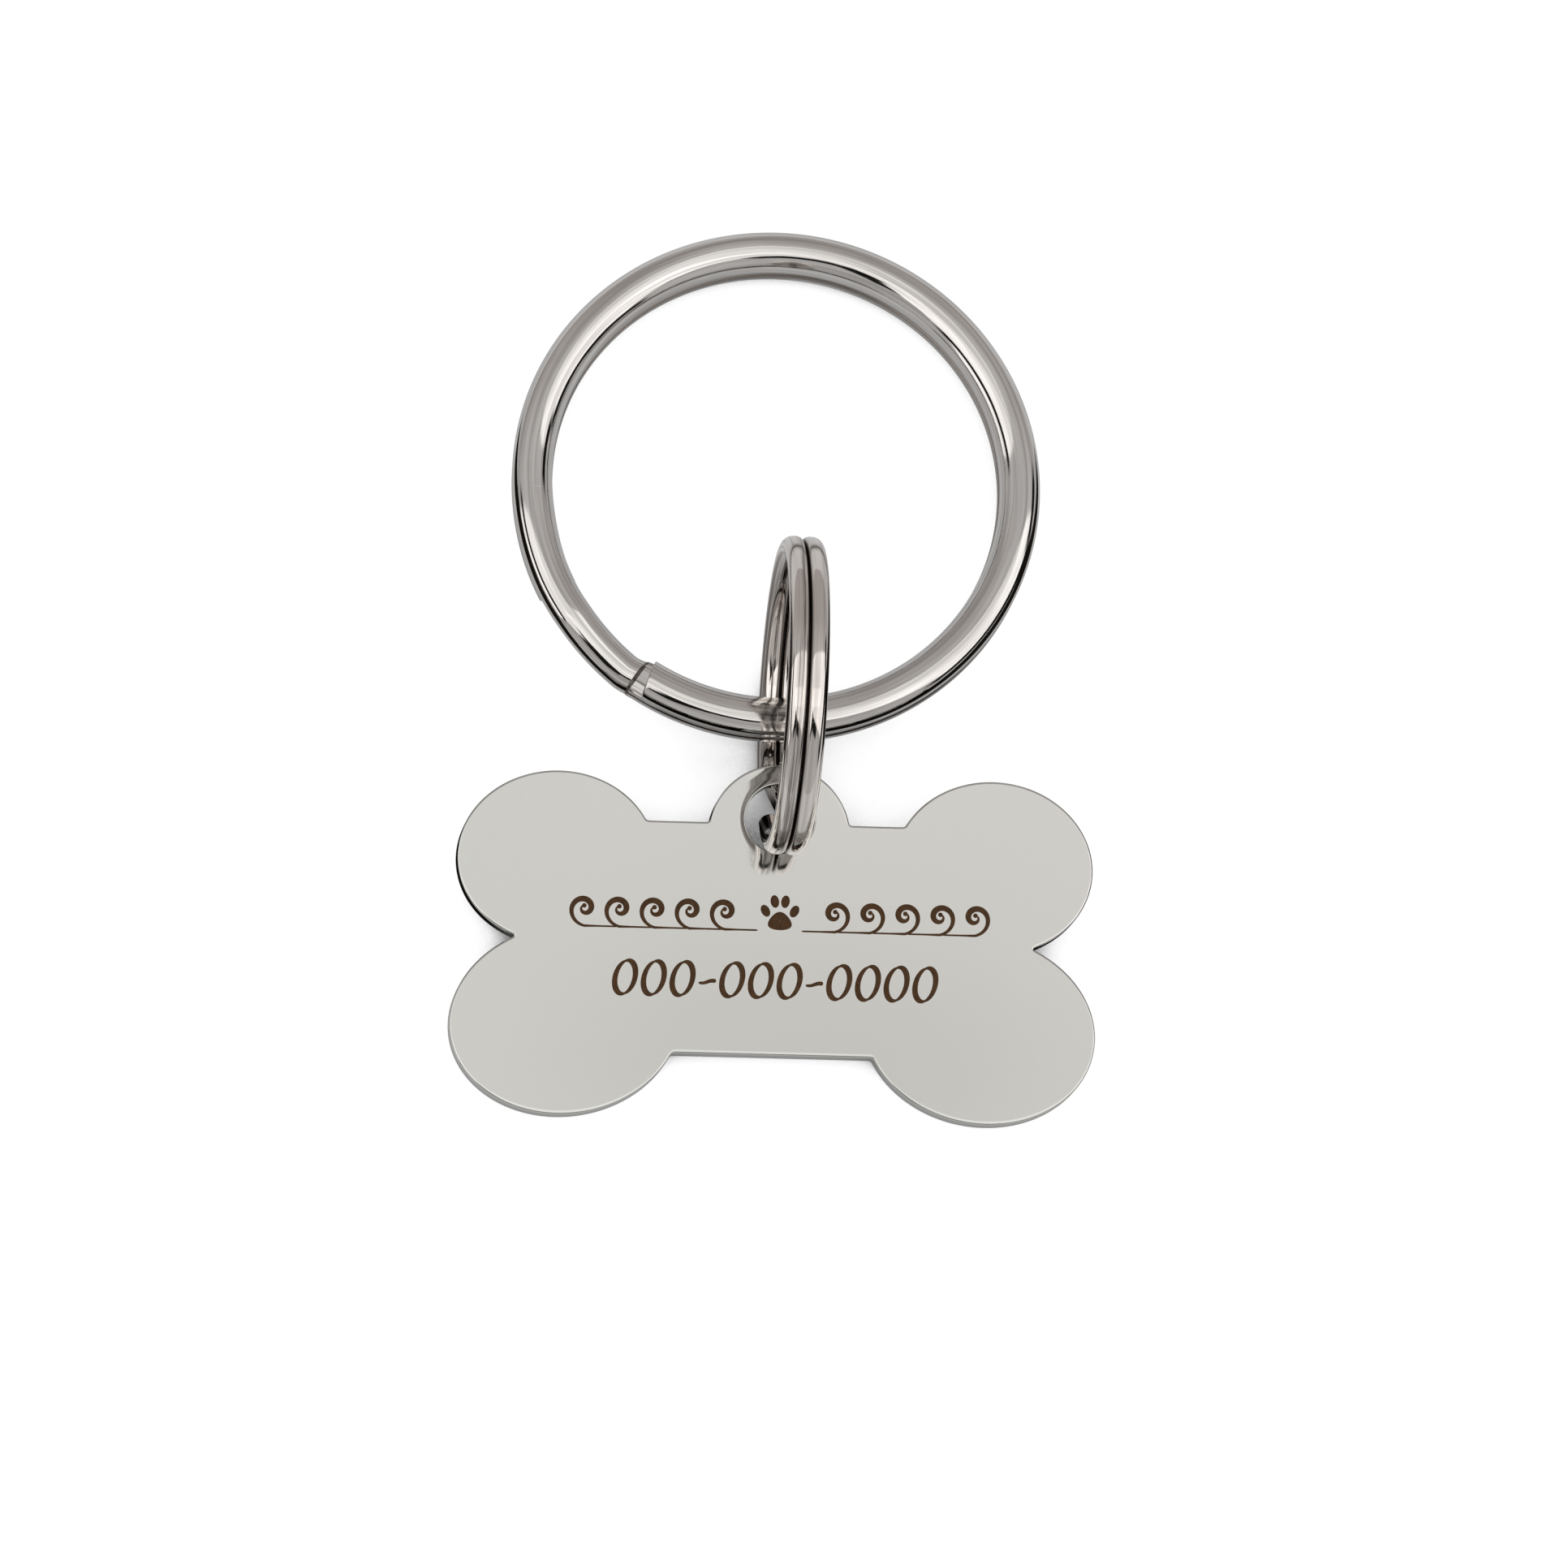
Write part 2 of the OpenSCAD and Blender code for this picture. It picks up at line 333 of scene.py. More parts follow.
def lobe_point(lobe, a):
    """Point of a leaning ellipse at parameter a: middle + turned (length cos a, breadth sin a)."""
    lean = np.radians(-lobe["lean"])
    x, y = lobe["length"] * np.cos(a), lobe["breadth"] * np.sin(a)
    return np.stack([lobe["out"] + x * np.cos(lean) - y * np.sin(lean),
                     lobe["up"] + x * np.sin(lean) + y * np.cos(lean)], -1)


def crossing(lobe, guess, other):
    """Parameter where a lobe's ellipse meets another edge, by halving the interval that holds it.
    other(point) is negative on one side of that edge and positive on the other."""
    low, high = guess
    sign = np.sign(other(lobe_point(lobe, low)))
    for _ in range(60):
        middle = (low + high) / 2
        if np.sign(other(lobe_point(lobe, middle))) == sign:
            low = middle
        else:
            high = middle
    return (low + high) / 2


def outside(lobe):
    """A function of a point: above zero outside the lobe, below zero inside."""
    lean = np.radians(-lobe["lean"])

    def value(p):
        dx, dy = p[..., 0] - lobe["out"], p[..., 1] - lobe["up"]
        u = dx * np.cos(lean) + dy * np.sin(lean)
        v = dy * np.cos(lean) - dx * np.sin(lean)
        return (u / lobe["length"]) ** 2 + (v / lobe["breadth"]) ** 2 - 1
    return value


def bone_outline(step=0.1):
    """The outline anticlockwise from the right notch: upper right lobe, top edge, tab, top edge,
    upper left lobe, left notch, lower left lobe, bottom edge, lower right lobe. Points are about a
    step apart: lobe_arc and tab_arc are the rough lengths of those arcs."""
    u0 = crossing(upper_lobe, (-1.4, 0.3), outside(lower_lobe))
    u1 = crossing(upper_lobe, (2.0, 3.6), lambda p: p[..., 1] - edge_up)
    l0 = crossing(lower_lobe, (2.6, 4.4), lambda p: p[..., 1] - edge_down)
    l1 = crossing(lower_lobe, (6.3, 8.2), outside(upper_lobe))
    count = int(lobe_arc / step)
    upper = lobe_point(upper_lobe, np.linspace(u0, u1, count))
    lower = lobe_point(lower_lobe, np.linspace(l0, l1, count))
    rise = np.arcsin((edge_up - tab_middle[1]) / tab_radius)
    a = np.linspace(rise, np.pi - rise, int(tab_arc / step))
    tab = tab_middle + tab_radius * np.stack([np.cos(a), np.sin(a)], -1)

    def straight(p, q):
        n = max(3, int(np.hypot(*(q - p)) / step))
        return p + (q - p) * np.linspace(0, 1, n + 1)[1:-1, None]
    mirror = np.array([-1, 1])
    parts = [upper, straight(upper[-1], tab[0]), tab, straight(tab[-1], upper[-1] * mirror),
             (upper * mirror)[::-1], (lower * mirror)[::-1][1:], straight(lower[0] * mirror, lower[0]),
             lower[:-1]]
    return np.concatenate(parts)


def soften(loop, passes):
    """Rounds the sharp inner corners a little: each point moves to 1/4 before, 1/2 itself, 1/4 after."""
    for _ in range(passes):
        loop = (np.roll(loop, 1, 0) + 2 * loop + np.roll(loop, -1, 0)) / 4
    return loop


def inward(loop):
    """Unit direction towards the metal at each point of an anticlockwise loop."""
    along = np.roll(loop, -1, 0) - np.roll(loop, 1, 0)
    side = np.stack([-along[:, 1], along[:, 0]], -1)
    return side / np.linalg.norm(side, axis=1)[:, None]


def bends_only(loop):
    """Drops the points inside straight stretches, where the sine of the turn is almost zero, so that
    the flat face has no slivers between points in one line."""
    before, after = loop - np.roll(loop, 1, 0), np.roll(loop, -1, 0) - loop
    turned = before[:, 0] * after[:, 1] - before[:, 1] * after[:, 0]
    sine = turned / np.linalg.norm(before, axis=1) / np.linalg.norm(after, axis=1)
    return loop[np.abs(sine) > 1e-4]


outline = bends_only(soften(bone_outline(), 3))
print("outline points", len(outline), "width", np.ptp(outline[:, 0]).round(2), "height",
      np.ptp(outline[:, 1]).round(2))

# %% Loops round the rim
rim_radius, hole_rim_radius = 0.13, 0.055
roll_off_width, roll_off_depth = 1.5, 0.026
hole_roll_off_width, hole_roll_off_depth, hole_points = 0.35, 0.01, 144
tab_reach, tab_soft, tab_share = 5, 1.2, 0.24


def rim_profile(radius, width, depth):
    """Pairs of inset and height from the bottom face's edge to the top face's edge: a quarter round,
    the wall, a quarter round, then a fall-off depth (1 - u)^2 that runs out over the width."""
    q = np.linspace(0, np.pi / 2, 6)
    u = np.linspace(0, 1, 9)[1:]
    top = plate_thickness - depth
    bottom = np.stack([radius * (1 - np.sin(q)), radius * (1 - np.cos(q))], -1)
    upper = np.stack([radius * (1 - np.cos(q)), top - radius + radius * np.sin(q)], -1)
    fall = np.stack([radius + width * u, plate_thickness - depth * (1 - u) ** 2], -1)
    return np.concatenate([bottom, upper, fall])


def rim_loops(loop, radius, width, depth, reach):
    """Grid of loops: each is the outline moved inwards by its inset, at its height. reach holds the
    share of the wide fall-off that fits at each point."""
    profile = rim_profile(radius, width, depth)
    inset = profile[:, 0, None]
    inset = np.minimum(inset, radius) + np.maximum(inset - radius, 0) * reach[None]
    flat = loop[None] + inward(loop)[None] * inset[..., None]
    return np.concatenate([flat, np.broadcast_to(profile[:, 1, None, None], flat.shape[:2] + (1,))], -1)


# The tab has no room for the wide fall-off between its rim and the hole, so it gets a share of it.
on_tab = np.abs(outline[:, 0] - tab_middle[0]) < tab_reach
near_tab = soft_step((outline[:, 1] - edge_up) / tab_soft + 0.5) * on_tab
outer_reach = 1 - (1 - tab_share) * near_tab
outer = rim_loops(outline, rim_radius, roll_off_width, roll_off_depth, outer_reach)
round_hole = np.linspace(0, 2 * np.pi, hole_points, endpoint=False)[::-1]
hole_loop = hole_middle + hole_radius * np.stack([np.cos(round_hole), np.sin(round_hole)], -1)
inner = rim_loops(hole_loop, hole_rim_radius, hole_roll_off_width, hole_roll_off_depth,
                  np.ones(len(hole_loop)))
print("rim loops", outer.shape, "hole loops", inner.shape)

# %% Plate from loops
hole_axis = np.array([-0.105842, -8.67428, 2.85055])
plate_turn, plate_tilt = 1.5, 7.07004
plate_place = turn("z", plate_turn) @ turn("x", plate_tilt)
plate_shift = np.array([hole_middle[0], hole_middle[1], plate_thickness / 2])


def on_plate(points):
    """Points in the plate's own coordinates (right, up, out of its back face) put in their place."""
    return (points - plate_shift) @ plate_place.T + hole_axis


def plate_piece():
    """The rim loops of outline and hole, and a flat face between them on the front and the back."""
    rows, columns = outer.shape[:2]
    hole_columns = inner.shape[1]
    points = np.concatenate([outer.reshape(-1, 3), inner.reshape(-1, 3)])
    start = rows * columns
    sides = np.concatenate([grid_faces(rows, columns), grid_faces(rows, hole_columns, first=start)])
    faces = []
    for row, facing in ((0, -1), (rows - 1, 1)):
        loops = [outer[row], inner[row]]
        index = np.concatenate([row * columns + np.arange(columns),
                                start + row * hole_columns + np.arange(hole_columns)])
        triangles = index[np.array(tessellate_polygon([loop.tolist() for loop in loops]))]
        a, b, c = (points[triangles[:, k]] for k in range(3))
        wrong = np.cross(b - a, c - a)[:, 2] * facing < 0
        triangles[wrong] = triangles[wrong][:, ::-1]
        faces += triangles.tolist()
    return build_mesh("bone_plate", on_plate(points), sides, faces)


plate = plate_piece()
print("plate faces", len(plate.data.polygons))

# %% [markdown]
# ## Marks on the plate
#
# Such tags are marked with a laser, which leaves a thin dark brown skin of oxide on the steel and
# hardly any depth. The marks are drawn as with a broad pen: a ribbon follows each stroke, and its
# width changes with the direction of the stroke. The upper row holds an ornament with a paw print,
# and the lower row holds plain zeros.

# %% Pen strokes
mark_rise, rim_drop = 0.009, 0.65


def skin_height(u):
    """Height of the marks' skin: thickness + rise (1 - drop u^4), for u = 0 in the middle of a
    stroke and 1 at its rim."""
    return plate_thickness + mark_rise * (1 - rim_drop * u ** 4)


def ribbon(path, widths, columns=5):
    """Strip along a path: point = path + side * width / 2 * v for v from -1 to 1, a little higher
    in its middle. Returns points in plate coordinates and four-sided faces."""
    along = np.gradient(path, axis=0)
    side = np.stack([along[:, 1], -along[:, 0]], -1)
    side /= np.linalg.norm(side, axis=1)[:, None]
    v = np.linspace(-1, 1, columns)
    flat = path[:, None] + side[:, None] * (widths[:, None] / 2 * v)[..., None]
    height = skin_height(v) + 0 * widths[:, None]
    points = np.concatenate([flat, height[..., None]], -1)
    rows = len(path)
    r, c = np.meshgrid(np.arange(rows - 1), np.arange(columns - 1), indexing="ij")
    near, far = r * columns + c, (r + 1) * columns + c
    quads = np.stack([near, far, far + 1, near + 1], -1)
    return points.reshape(-1, 3), quads.reshape(-1, 4)[:, ::-1]


def pen_width(path, thin, thick, pen_angle):
    """Width of a broad pen's stroke: thin + (thick - thin) |sin(direction - pen angle)|."""
    along = np.gradient(path, axis=0)
    direction = np.arctan2(along[:, 1], along[:, 0])
    return thin + (thick - thin) * np.abs(np.sin(direction - np.radians(pen_angle)))


def rounded_ends(widths, length, blunt=0.12):
    """Closes a stroke's ends like a circle: width times sqrt(1 - (1 - d)^2) near each end."""
    n = len(widths)
    d = np.minimum(np.arange(n), np.arange(n)[::-1]) / (n - 1) * length / blunt
    return widths * np.sqrt(np.clip(1 - (1 - np.clip(d, 0, 1)) ** 2, 0.0004, 1))


# %% Row of plain zeros
digit_height, digit_width, slant = 1.9, 1.12, 0.17
row_base = -3.02
digit_advance, dash_advance = 1.62, 1.4
pen_thin, pen_thick, pen_lean, pen_start = 0.12, 0.33, 24, 0.35
dash_length, dash_width, dash_swell = 1.0, 0.2, 0.05
dash_middle, dash_rise, dash_wave = 0.42, 0.05, 0.045


def zero_stroke(x):
    """A slanting zero: an ellipse, with the pen's width changing round it."""
    a = np.linspace(0, 2 * np.pi, 73) + np.pi / 2 + pen_start
    y = digit_height / 2 * np.sin(a)
    path = np.stack([x + digit_width / 2 * np.cos(a) + slant * y, row_base + digit_height / 2 + y], -1)
    return ribbon(path, pen_width(path, pen_thin, pen_thick, pen_lean))


def dash_stroke(x):
    """A short pen dash with a slight wave."""
    s = np.linspace(-1, 1, 25)
    y = row_base + digit_height * dash_middle + dash_rise * s + dash_wave * np.sin(np.pi * s)
    path = np.stack([x + dash_length / 2 * s, y], -1)
    return ribbon(path, rounded_ends(dash_width + dash_swell * s, dash_length))


digits = "000-000-0000"
strokes, x = [], 0.0
for before, mark in zip(" " + digits, digits):
    x += 0 if before == " " else dash_advance if "-" in (before, mark) else digit_advance
    strokes.append((x, mark))
middle = x / 2 - 0.1
marks = [(dash_stroke if mark == "-" else zero_stroke)(x - middle) for x, mark in strokes]
print("row of", len(digits), "marks")

# %% Ornament with a paw print
ornament_base, ornament_middle = 0.78, 0.3
wave_length, wave_height, wave_count, first_wave = 1.98, 2.0, 5, 3.1
curl_turns, curl_shrink, curl_thin, curl_swell = 1.55, 0.21, 0.1, 0.24
wave_stroke, eye_radius = 6.0, 0.13


def wave(start, side):
    """One wave of a running scroll: a level line, then a curl r = a e^(-b angle) round a middle
    above its end, drawn thin, thick in the swell of the curl, and thin again."""
    line = np.linspace(-0.95 * wave_length, 0, 40)[:-1]
    angle = np.linspace(0, 2 * np.pi * curl_turns, 170)
    r = wave_height / 2 * np.exp(-curl_shrink * angle)
    x = np.concatenate([line, r * np.sin(angle)])
    y = np.concatenate([0 * line, wave_height / 2 - r * np.cos(angle)])
    path = np.stack([ornament_middle + side * (start + x), ornament_base + y + 0 * x], -1)
    share = np.linspace(0, 1, len(path))
    widths = curl_thin + curl_swell * np.sin(np.pi * np.clip(share * 1.25 - 0.12, 0, 1)) ** 1.5
    eye = path[-1] + [side * 0.06, 0.02]
    return [ribbon(path, rounded_ends(widths, wave_stroke)), disc(eye, eye_radius, eye_radius, 0)]


def disc(middle, half_width, half_height, lean, squash=0.0, count=48):
    """A filled oval: rings of points from the middle to the rim, closed by a fan of narrow faces."""
    a = np.linspace(0, 2 * np.pi, count, endpoint=False)
    share = np.linspace(0.02, 1, 5)[:, None]
    x = half_width * np.cos(a) * (1 - squash * np.sin(a))
    y = half_height * np.sin(a) - squash * half_height * 0.6 * np.cos(a) ** 2
    lean = np.radians(lean)
    flat = np.stack([middle[0] + share * (x * np.cos(lean) - y * np.sin(lean)),
                     middle[1] + share * (x * np.sin(lean) + y * np.cos(lean)),
                     skin_height(share) + 0 * share * x], -1)
    faces = grid_faces(5, count, flip=True)
    return flat.reshape(-1, 3), faces


for side in (-1, 1):
    for step in range(wave_count):
        marks += wave(first_wave + step * wave_length, side)
paw_middle = np.array([ornament_middle, ornament_base + 0.95])
pad_spot, pad_half_width, pad_half_height, pad_squash = [0, -0.4], 0.66, 0.52, 0.25
toe_half_width, toe_half_height = 0.24, 0.36
toes = ([-0.82, 0.16], 28), ([-0.3, 0.7], 9), ([0.3, 0.7], -9), ([0.82, 0.16], -28)
marks += [disc(paw_middle + pad_spot, pad_half_width, pad_half_height, 0, pad_squash)]
marks += [disc(paw_middle + spot, toe_half_width, toe_half_height, lean) for spot, lean in toes]


def joined(parts):
    """One list of points and one of faces from many."""
    first = np.cumsum([0] + [len(p) for p, _ in parts])[:-1]
    faces = [f + n for (_, f), n in zip(parts, first)]
    return np.concatenate([p for p, _ in parts]), np.concatenate(faces)


mark_points, mark_faces = joined(marks)
laser_marks = build_mesh("laser_marks", on_plate(mark_points), mark_faces)
print("marks", len(mark_faces), "faces")

# %% [markdown]
# ## Finishes
#
# Three effects are shared by the metals. Drawn lines run along the wire, from the die that it was
# pulled through. Grain is the fine texture that is left by polishing. Handling puts sparse hairline
# scratches and faint smudges on everything. Each is a node group that takes a place on the surface
# and gives heights, tones or masks, and each metal weighs them in its own way.


# %% Node helpers
def new_group(name, inputs, outputs):
    """An empty shader node group with named sockets; returns the group, its inputs and its outputs."""
    group = bpy.data.node_groups.new(name, "ShaderNodeTree")
    for in_out, sockets in (("INPUT", inputs), ("OUTPUT", outputs)):
        for label, kind in sockets:
            group.interface.new_socket(label, in_out=in_out, socket_type="NodeSocket" + kind)
    return group, group.nodes.new("NodeGroupInput"), group.nodes.new("NodeGroupOutput")


def feed(tree, socket, value):
    """Links another socket to an input, or sets the input's own value; None leaves it alone."""
    if isinstance(value, bpy.types.NodeSocket):
        tree.links.new(value, socket)
    elif value is not None:
        socket.default_value = value


def math_node(tree, operation, a, b=None, c=None):
    """A Math node whose inputs are numbers or sockets; returns its output socket."""
    node = tree.nodes.new("ShaderNodeMath")
    node.operation = operation
    for socket, value in zip(node.inputs, (a, b, c)):
        feed(tree, socket, value)
    return node.outputs[0]


def weighted(tree, parts, base=0.0):
    """base + share * value, added up over pairs of a value's socket and its share."""
    for value, share in parts:
        base = math_node(tree, "MULTIPLY_ADD", value, share, base)
    return base


def vector_node(tree, operation, a, b=None):
    """A Vector Math node; returns the number of a length or dot product, or else the vector."""
    node = tree.nodes.new("ShaderNodeVectorMath")
    node.operation = operation
    for socket, value in zip(node.inputs, (a, b)):
        feed(tree, socket, value)
    return node.outputs["Value" if operation in ("LENGTH", "DOT_PRODUCT") else "Vector"]


def noise_node(tree, vector, scale, detail=3.0, roughness=0.5):
    """A three-dimensional Noise Texture; returns its factor."""
    node = tree.nodes.new("ShaderNodeTexNoise")
    tree.links.new(vector, node.inputs["Vector"])
    for key, number in (("Scale", scale), ("Detail", detail), ("Roughness", roughness)):
        node.inputs[key].default_value = number
    return node.outputs["Fac"]


def stretched(tree, vector, factors):
    """The vector multiplied by three numbers, to draw a pattern out along one direction."""
    return vector_node(tree, "MULTIPLY", vector, factors)


def band(tree, value, low, high, to_low=0.0, to_high=1.0):
    """Map Range with smooth ends, from low..high to to_low..to_high."""
    node = tree.nodes.new("ShaderNodeMapRange")
    node.interpolation_type = "SMOOTHSTEP"
    tree.links.new(value, node.inputs["Value"])
    for key, number in zip(("From Min", "From Max", "To Min", "To Max"), (low, high, to_low, to_high)):
        node.inputs[key].default_value = number
    return node.outputs["Result"]


# %% Drawn lines along the wire
fine_share, broad_share, uneven_share = 0.4, 0.3, 0.35


def drawn_lines_group():
    """Height and tone that change quickly across the wire and slowly along it."""
    group, given, out = new_group("drawn_lines", [("Wire", "Vector")],
                                  [("Height", "Float"), ("Tone", "Float")])
    fine = noise_node(group, stretched(group, given.outputs["Wire"], (0.06, 5.0, 5.0)), 1.0, 5.0, 0.65)
    broad = noise_node(group, stretched(group, given.outputs["Wire"], (0.09, 1.6, 1.6)), 1.0, 2.0)
    uneven = noise_node(group, stretched(group, given.outputs["Wire"], (0.9, 2.6, 2.6)), 1.0, 1.0)
    height = weighted(group, [(fine, fine_share), (broad, broad_share), (uneven, uneven_share)])
    group.links.new(height, out.inputs["Height"])
    group.links.new(band(group, fine, 0.38, 0.62), out.inputs["Tone"])
    return group


# %% Grain left by polishing
def grain_group():
    """Fine even grain on Object coordinates in metres, and a slow cloud for tone."""
    group, given, out = new_group("polish_grain", [("Place", "Vector")],
                                  [("Height", "Float"), ("Tone", "Float"), ("Cloud", "Float")])
    fine = noise_node(group, given.outputs["Place"], 9000.0, 2.0)
    wave = noise_node(group, given.outputs["Place"], 260.0, 1.0)
    cloud = noise_node(group, given.outputs["Place"], 75.0, 2.0)
    group.links.new(weighted(group, [(fine, 0.1)], wave), out.inputs["Height"])
    group.links.new(fine, out.inputs["Tone"])
    group.links.new(band(group, cloud, 0.3, 0.7), out.inputs["Cloud"])
    return group


# %% Scratches and smudges from handling
def handling_group():
    """Scratch is 1 on sparse hairlines: thin level lines of two drawn-out noises, broken up by a
    third. Smudge is a soft cloud."""
    group, given, out = new_group("handling", [("Place", "Vector")],
                                  [("Scratch", "Float"), ("Smudge", "Float")])
    lines = []
    for factors in ((900.0, 60.0, 300.0), (90.0, 700.0, 300.0)):
        value = noise_node(group, stretched(group, given.outputs["Place"], factors), 1.0, 1.0)
        away = math_node(group, "ABSOLUTE", math_node(group, "SUBTRACT", value, 0.5))
        lines.append(band(group, away, 0.004, 0.0))
    where = noise_node(group, given.outputs["Place"], 420.0, 2.0)
    both = math_node(group, "MAXIMUM", lines[0], lines[1])
    sparse = math_node(group, "MULTIPLY", both, band(group, where, 0.58, 0.66))
    group.links.new(sparse, out.inputs["Scratch"])
    cloud = noise_node(group, given.outputs["Place"], 190.0, 3.0)
    group.links.new(band(group, cloud, 0.35, 0.75), out.inputs["Smudge"])
    return group


drawn_lines, polish_grain, handling = drawn_lines_group(), grain_group(), handling_group()
print("node groups", [g.name for g in bpy.data.node_groups])


# %% Material helpers
def new_material(name, metallic, roughness):
    """A material with a Principled BSDF; returns the material, its tree and the shader."""
    material = bpy.data.materials.new(name)
    material.use_nodes = True
    tree = material.node_tree
    shader = next(n for n in tree.nodes if n.type == "BSDF_PRINCIPLED")
    shader.inputs["Metallic"].default_value = metallic
    shader.inputs["Roughness"].default_value = roughness
    return material, tree, shader


def placed(tree, group, vector):
    """A group node in a material's tree with its first input fed by the vector."""
    node = tree.nodes.new("ShaderNodeGroup")
    node.node_tree = group
    tree.links.new(vector, node.inputs[0])
    return node


def object_place(tree):
    """Object coordinates, in metres."""
    return tree.nodes.new("ShaderNodeTexCoord").outputs["Object"]


def attribute(tree, key, output="Vector"):
    """A vector or a number (output Fac) stored on the mesh."""
    node = tree.nodes.new("ShaderNodeAttribute")
    node.attribute_name = key
    return node.outputs[output]


def mixed(tree, factor, a, b):
    """Colour a where the factor is 0 and b where it is 1; a and b are colours or sockets."""
    node = tree.nodes.new("ShaderNodeMix")
    node.data_type = "RGBA"
    tree.links.new(factor, node.inputs["Factor"])
    for key, value in (("A", a), ("B", b)):
        socket = [s for s in node.inputs if s.name == key and s.type == "RGBA"][0]
        feed(tree, socket, (*value, 1) if isinstance(value, tuple) else value)
    return [s for s in node.outputs if s.type == "RGBA"][0]


def bumped(tree, shader, layers):
    """Bump nodes in a row: each layer is a height socket, a strength and a depth in metres."""
    normal = None
    for height, strength, depth in layers:
        node = tree.nodes.new("ShaderNodeBump")
        node.inputs["Strength"].default_value = strength
        node.inputs["Distance"].default_value = depth
        tree.links.new(height, node.inputs["Height"])
        if normal is not None:
            tree.links.new(normal, node.inputs["Normal"])
        normal = node.outputs["Normal"]
    tree.links.new(normal, shader.inputs["Normal"])


# %% Nickel of the rings
# Painted shade: dark brown in the groove between the turns and in stripes on the lower turn.
ring_shade_colour = (0.075, 0.05, 0.035)
groove_shade, lower_turn_shade, smudge_share = 0.95, 0.6, 0.35


def ring_material(name, low, high, smudged):
    """Polished nickel: warm light grey metal with drawn lines between the colours low and high,
    hairlines and smudges, and dark brown painted shade in the groove between the turns and in
    stripes on the lower turn."""
    material, tree, shader = new_material(name, 1.0, 0.1)
    lines = placed(tree, drawn_lines, attribute(tree, "wire"))
    touch = placed(tree, handling, object_place(tree))
    clean = mixed(tree, lines.outputs["Tone"], low, high)
    smudge = math_node(tree, "MULTIPLY", touch.outputs["Smudge"], smudge_share)
    worn = mixed(tree, smudge, clean, smudged)
    # Painted shade in stripes on the lower turn, which lies under the upper one, and in the groove.
    stripes = band(tree, lines.outputs["Tone"], 0.45, 0.05, 0.0, lower_turn_shade)
    below = math_node(tree, "MULTIPLY", attribute(tree, "lower_turn", "Fac"), stripes)
    in_groove = math_node(tree, "MULTIPLY", attribute(tree, "groove", "Fac"), groove_shade)
    painted_shade = math_node(tree, "MAXIMUM", in_groove, below)
    tree.links.new(mixed(tree, painted_shade, worn, ring_shade_colour), shader.inputs["Base Color"])
    rough_parts = [(lines.outputs["Tone"], 0.03), (painted_shade, 0.3), (touch.outputs["Smudge"], 0.03)]
    tree.links.new(weighted(tree, rough_parts, 0.035), shader.inputs["Roughness"])
    bumped(tree, shader, [(lines.outputs["Height"], 0.5, 10 * MICRON),
                          (touch.outputs["Scratch"], 0.3, 4 * MICRON)])
    return material


# %% Soft patch on a surface
def soft_patch(tree, vector, middle, size):
    """1 at the middle and exp(-(distance / size)^2) away from it, with a size along each axis."""
    scaled = stretched(tree, vector_node(tree, "SUBTRACT", vector, middle), [1 / x for x in size])
    square = vector_node(tree, "DOT_PRODUCT", scaled, scaled)
    return math_node(tree, "EXPONENT", math_node(tree, "MULTIPLY", square, -1.0))


# %% Steel of the plate
steel_cool, steel_warm, steel_speck = (0.65, 0.655, 0.628), (0.672, 0.662, 0.64), (0.57, 0.57, 0.55)
# Painted shade: a darker patch towards the plate's lower edge, with its middle, size and colour.
shade_patch_middle, shade_patch_size, shade_patch_colour = (0.0025, -0.0225, 0.003), (0.0155, 0.0085, 0.01), (0.28, 0.27, 0.255)


def plate_material():
    """Polished stainless steel: neutral grey metal, fine grain, a faint warm cloud, hairlines, and a
    darker patch of painted shade towards the plate's lower edge."""
    material, tree, shader = new_material("polished_steel", 1.0, 0.1)
    spot = object_place(tree)
    grain, touch = placed(tree, polish_grain, spot), placed(tree, handling, spot)
    clean = mixed(tree, grain.outputs["Cloud"], steel_cool, steel_warm)
    specks = math_node(tree, "MULTIPLY", grain.outputs["Tone"], 0.3)
    speckled = mixed(tree, specks, clean, steel_speck)
    # Painted shade: the darker patch towards the lower edge, mixed into the base colour.
    held = math_node(tree, "MULTIPLY", soft_patch(tree, spot, shade_patch_middle, shade_patch_size), 0.2)
    tree.links.new(mixed(tree, held, speckled, shade_patch_colour), shader.inputs["Base Color"])
    rough = weighted(tree, [(grain.outputs["Tone"], 0.03)], 0.05)
    tree.links.new(rough, shader.inputs["Roughness"])
    bumped(tree, shader, [(grain.outputs["Height"], 0.12, 10 * MICRON),
                          (touch.outputs["Scratch"], 0.05, 2 * MICRON)])
    return material


# %% Brown oxide of the marks
oxide_dark, oxide_light = (0.048, 0.021, 0.006), (0.066, 0.030, 0.009)


def oxide_material():
    """Dull dark brown with a mottled tone, from the laser's heat."""
    material, tree, shader = new_material("brown_oxide", 0.0, 0.8)
    shader.inputs["Specular IOR Level"].default_value = 0.25
    spot = object_place(tree)
    mottle = band(tree, noise_node(tree, spot, 3500.0, 3.0), 0.35, 0.65)
    tree.links.new(mixed(tree, mottle, oxide_dark, oxide_light), shader.inputs["Base Color"])
    bumped(tree, shader, [(noise_node(tree, spot, 9000.0, 2.0), 0.3, 10 * MICRON)])
    return material


# %% Materials on the pieces
nickel = ring_material("polished_nickel", low=(0.54, 0.52, 0.505), high=(0.80, 0.78, 0.76),
                       smudged=(0.56, 0.53, 0.51))
warm_nickel = ring_material("warm_nickel", low=(0.57, 0.532, 0.508), high=(0.79, 0.745, 0.71),
                            smudged=(0.57, 0.53, 0.505))
steel, oxide = plate_material(), oxide_material()
for piece, material in ((large_ring, nickel), (small_ring, warm_nickel), (plate, steel),
                        (laser_marks, oxide)):
    piece.data.materials.append(material)
print("materials", [m.name for m in (nickel, warm_nickel, steel, oxide)])

